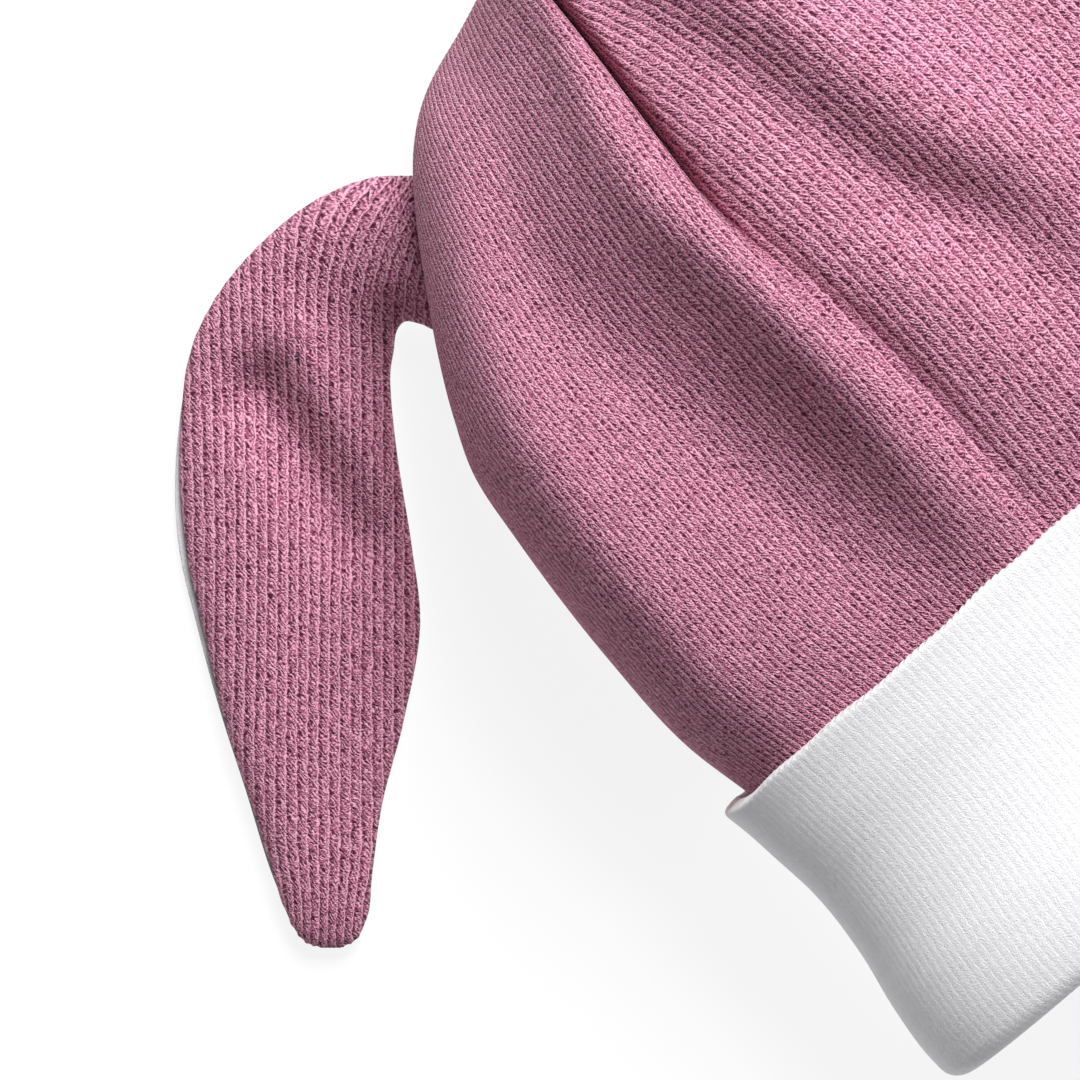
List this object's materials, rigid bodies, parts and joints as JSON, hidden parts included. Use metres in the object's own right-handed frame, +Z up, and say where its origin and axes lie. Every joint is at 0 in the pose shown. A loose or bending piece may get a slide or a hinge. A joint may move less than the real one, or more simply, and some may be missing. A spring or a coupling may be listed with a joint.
{
  "type": "baby hat with ears",
  "caption": "Knitted baby hat lying on its back, with a hollow gathered crown, a turned-up cuff and long hanging ears, each of a coloured layer over a white lining.",
  "frame": {"origin": "on the floor under the middle of the cuff, on the hat's centre line, where its flat back rests", "axes": "+Z up from the floor, +Y along the hat from its mouth to its far end, +X across it towards the right ear"},
  "size_m": [0.2817, 0.1922, 0.0704],
  "materials": {
    "mauve_knit": "fine stockinette knit, dusty mauve, matt and slightly fuzzy",
    "white_knit": "fine stockinette knit, white, soft and brushed"
  },
  "bodies": {
    "root": {"crown": "mauve_knit", "cuff": "white_knit", "ear_left_outer": "mauve_knit", "ear_left_lining": "white_knit", "ear_right_outer": "mauve_knit", "ear_right_lining": "white_knit"}
  },
  "joints": []
}
